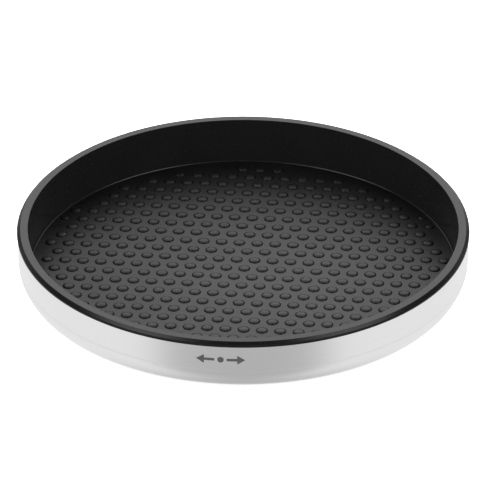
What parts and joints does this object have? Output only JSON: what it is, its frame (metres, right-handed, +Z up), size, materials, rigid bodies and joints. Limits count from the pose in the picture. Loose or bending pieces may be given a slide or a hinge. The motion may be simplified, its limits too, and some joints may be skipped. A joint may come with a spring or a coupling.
{
  "type": "lazy susan turntable",
  "caption": "Round kitchen turntable: brushed steel dish lined with a black tray and domed grip mat, spinning on a ball bearing over a low footed base.",
  "frame": {"origin": "on the spin axis, in the plane that the feet stand on", "axes": "+Z up along the spin axis; +X to the right and -Y to the front as the printed turning mark faces the user at rest"},
  "size_m": [0.27, 0.27, 0.0418],
  "materials": {
    "mat_rubber": "moulded black rubber with a soft sheen",
    "tray_plastic": "satin black moulded plastic",
    "shell_steel": "fine satin brushed stainless steel",
    "fastener_steel": "zinc plated steel",
    "race_steel": "pressed and galvanised steel",
    "rivet_steel": "plain plated steel",
    "cage_plastic": "natural nylon",
    "ball_steel": "polished bearing steel",
    "base_plastic": "fine textured black moulded plastic",
    "bush_plastic": "natural acetal",
    "foot_rubber": "matt dark grey silicone rubber"
  },
  "bodies": {
    "base": {"base_plate": "base_plastic", "lower_race": "race_steel", "lower_race_rivets": "rivet_steel", "pivot_bolt": "fastener_steel", "pivot_washer": "fastener_steel", "pivot_nut": "fastener_steel", "foot_1": "foot_rubber", "foot_2": "foot_rubber", "foot_3": "foot_rubber", "foot_4": "foot_rubber", "foot_5": "foot_rubber", "foot_6": "foot_rubber"},
    "cage": {"ball_cage": "cage_plastic", "bearing_balls": "ball_steel"},
    "turntable": {"tray": "tray_plastic", "steel_shell": "shell_steel", "grip_mat": "mat_rubber", "shell_screws": "fastener_steel", "upper_race": "race_steel", "upper_race_rivets": "rivet_steel", "pivot_bush": "bush_plastic"}
  },
  "joints": [
    {"name": "tray_spin", "type": "hinge", "parent": "base", "child": "turntable", "pos_m": [0, 0, 0.0065], "axis": [0, 0, 1], "continuous": true},
    {"name": "cage_spin", "type": "hinge", "parent": "base", "child": "cage", "pos_m": [0, 0, 0.007], "axis": [0, 0, 1], "continuous": true}
  ],
  "couplings": [
    {"joint": "cage_spin", "follows": "tray_spin", "ratio": 0.5}
  ]
}
